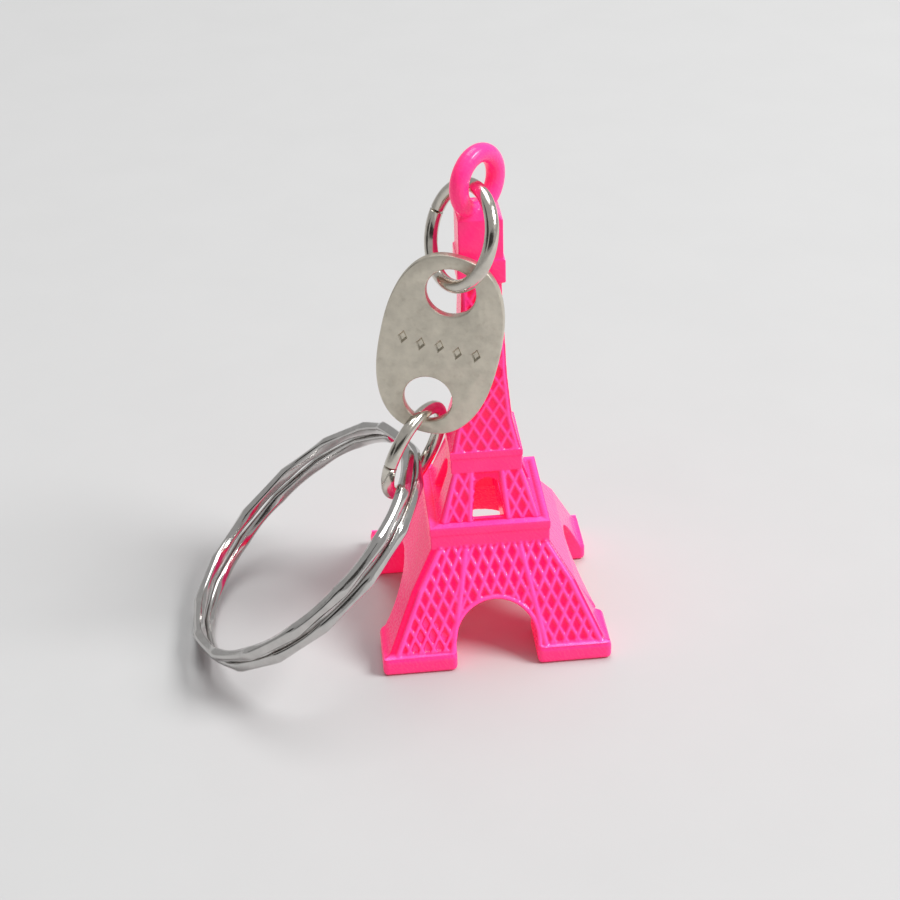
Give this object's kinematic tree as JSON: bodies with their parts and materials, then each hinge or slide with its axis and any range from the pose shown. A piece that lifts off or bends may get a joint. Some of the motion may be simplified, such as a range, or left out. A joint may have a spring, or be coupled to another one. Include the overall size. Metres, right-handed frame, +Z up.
{
  "type": "keychain",
  "caption": "Lattice tower charm standing on four feet, with jump rings, an oval tag with two holes and a split ring hanging from the eye on its top.",
  "frame": {"origin": "on the ground, at the middle of the whole keychain's box seen from above, as it is stored", "axes": "+Z up along the tower, -Y out of the tower's front face, +X to the tower's right as seen from the front"},
  "size_m": [0.0352, 0.025, 0.043],
  "materials": {
    "pink_enamel": "semi-gloss pink enamel over a zinc casting",
    "bright_nickel": "bright nickel plated steel wire",
    "satin_nickel": "satin nickel plated plate",
    "polished_nickel": "polished, hammered nickel plated steel"
  },
  "bodies": {
    "tower": {"tower": "pink_enamel"},
    "upper_jump_ring": {"upper_jump_ring": "bright_nickel"},
    "tag": {"tag": "satin_nickel"},
    "lower_jump_ring": {"lower_jump_ring": "bright_nickel"},
    "split_ring": {"split_ring": "polished_nickel"}
  },
  "joints": [
    {"name": "upper_ring_round_eye", "type": "hinge", "parent": "tower", "child": "upper_jump_ring", "pos_m": [0.00797, 0.00174, 0.04005], "axis": [-0.7071, 0.7071, 0], "range_deg": [0, 100]},
    {"name": "tag_on_upper_ring", "type": "hinge", "parent": "upper_jump_ring", "child": "tag", "pos_m": [0.00609, -0.00073, 0.03449], "axis": [-0.9363, 0.2796, 0.2124], "range_deg": [0, 40]},
    {"name": "lower_ring_on_tag", "type": "hinge", "parent": "tag", "child": "lower_jump_ring", "pos_m": [0.00288, -0.00051, 0.02004], "axis": [-0.9363, 0.2796, 0.2124], "range_deg": [0, 70]},
    {"name": "split_ring_on_lower_ring", "type": "hinge", "parent": "lower_jump_ring", "child": "split_ring", "pos_m": [0.00193, -0.00019, 0.01629], "axis": [0.02, 0.9998, 0], "range_deg": [0, 75]}
  ]
}
